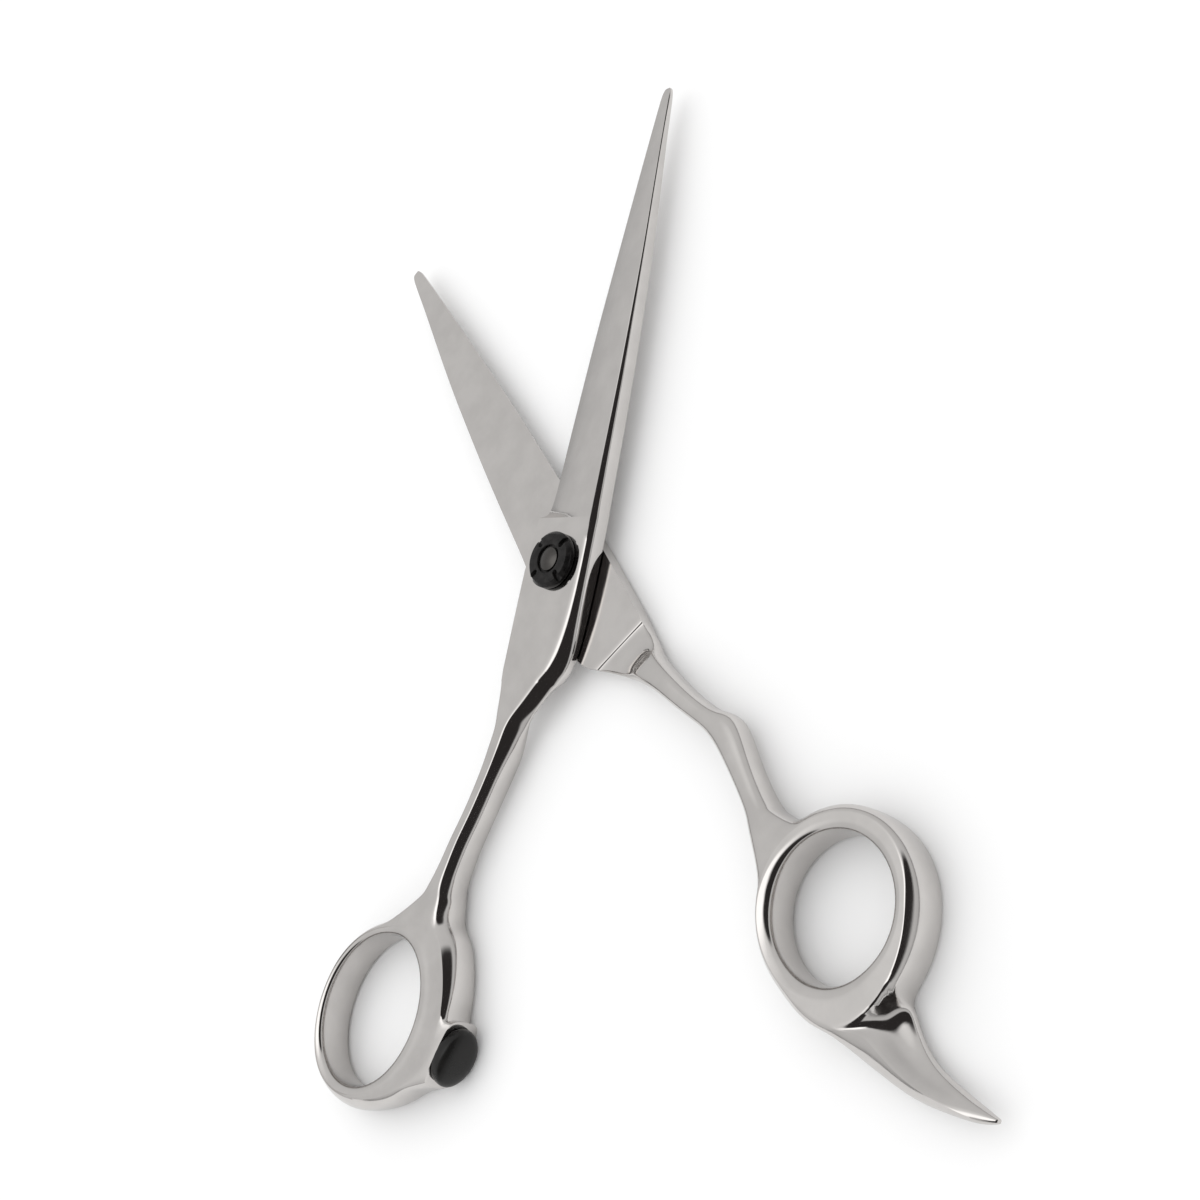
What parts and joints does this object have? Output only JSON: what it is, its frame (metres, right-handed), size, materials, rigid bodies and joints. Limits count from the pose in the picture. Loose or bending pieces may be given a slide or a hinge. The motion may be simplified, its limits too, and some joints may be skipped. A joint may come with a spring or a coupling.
{
  "type": "hair cutting shears",
  "caption": "Polished hair cutting shears with offset handles, a fixed finger rest, an oval thumb ring, an adjustable pivot nut and a rubber silencer.",
  "frame": {"origin": "centre of the flat outer face of the pivot bolt's head, on the pivot axis, where the shears rest on a table", "axes": "+Z along the pivot axis from the bolt head to the tension nut, +Y along the line half way between the open blades towards their tips, +X towards the finger ring side"},
  "size_m": [0.118, 0.1674, 0.0081],
  "materials": {
    "polished_steel": "mirror polished stainless steel",
    "bolt_steel": "turned steel",
    "spring_steel": "rolled spring steel",
    "washer_nylon": "natural nylon",
    "bushing_brass": "plain turned brass",
    "pad_rubber": "smooth black rubber",
    "black_metal": "satin black coating"
  },
  "bodies": {
    "finger_half": {"finger_blade": "polished_steel", "finger_handle": "polished_steel", "pivot_bolt": "bolt_steel", "blade_washer": "washer_nylon", "spring_washer_lower": "spring_steel", "spring_washer_upper": "spring_steel", "click_plate": "spring_steel"},
    "thumb_half": {"thumb_blade": "polished_steel", "thumb_handle": "polished_steel", "pivot_bushing": "bushing_brass", "silencer_pad": "pad_rubber", "silencer_stud": "bolt_steel"},
    "nut": {"tension_nut": "black_metal"}
  },
  "joints": [
    {"name": "blade_hinge", "type": "hinge", "parent": "finger_half", "child": "thumb_half", "pos_m": [0, 0, 0.0033], "axis": [0, 0, 1], "range_deg": [-44, 45]},
    {"name": "nut_turn", "type": "hinge", "parent": "finger_half", "child": "nut", "pos_m": [0, 0, 0.007], "axis": [0, 0, 1], "range_deg": [-90, 90]}
  ]
}
